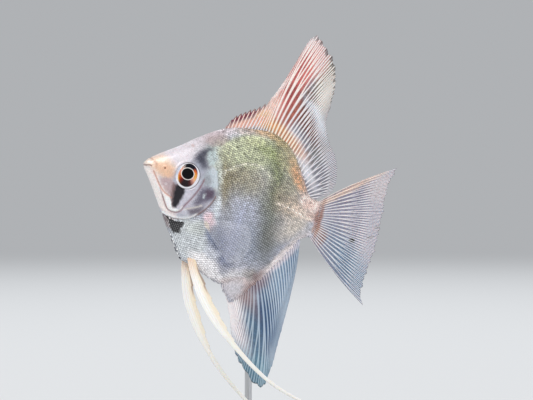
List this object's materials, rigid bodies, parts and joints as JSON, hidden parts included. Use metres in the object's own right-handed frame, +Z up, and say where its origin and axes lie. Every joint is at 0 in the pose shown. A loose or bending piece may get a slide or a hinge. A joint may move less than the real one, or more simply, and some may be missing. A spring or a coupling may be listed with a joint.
{
  "type": "freshwater angelfish model",
  "caption": "Life-size still model of a tall, thin freshwater angelfish with sail-like fins and long trailing pelvic fins, held by a bent rod on a flat base.",
  "frame": {"origin": "middle of the underside of the stand's base", "axes": "+Z up; -X the way the fish faces, level; +Y the fish's right side; the fish's middle plane is X-Z"},
  "size_m": [0.0961, 0.056, 0.1497],
  "materials": {
    "skin": "scaled skin, silvery lilac with an olive back and a wet satin sheen",
    "gill_plate": "smooth pinkish bone plate under thin skin",
    "fin": "thin web between paler rays, satin",
    "eye": "clear, wet, high gloss over an orange-red iris",
    "rod": "fine brushed along its length",
    "base": "dark stained, satin varnish"
  },
  "bodies": {
    "root": {"head": "skin", "lower_jaw": "skin", "gill_cover_left": "gill_plate", "gill_cover_right": "gill_plate", "eye_left": "eye", "eye_right": "eye", "trunk": "skin", "tail_stalk": "skin", "dorsal_fin": "fin", "anal_fin": "fin", "caudal_fin": "fin", "pectoral_fin_left": "fin", "pectoral_fin_right": "fin", "pelvic_fin_left": "fin", "pelvic_fin_right": "fin", "stand_rod": "rod", "stand_base": "base"}
  },
  "joints": []
}
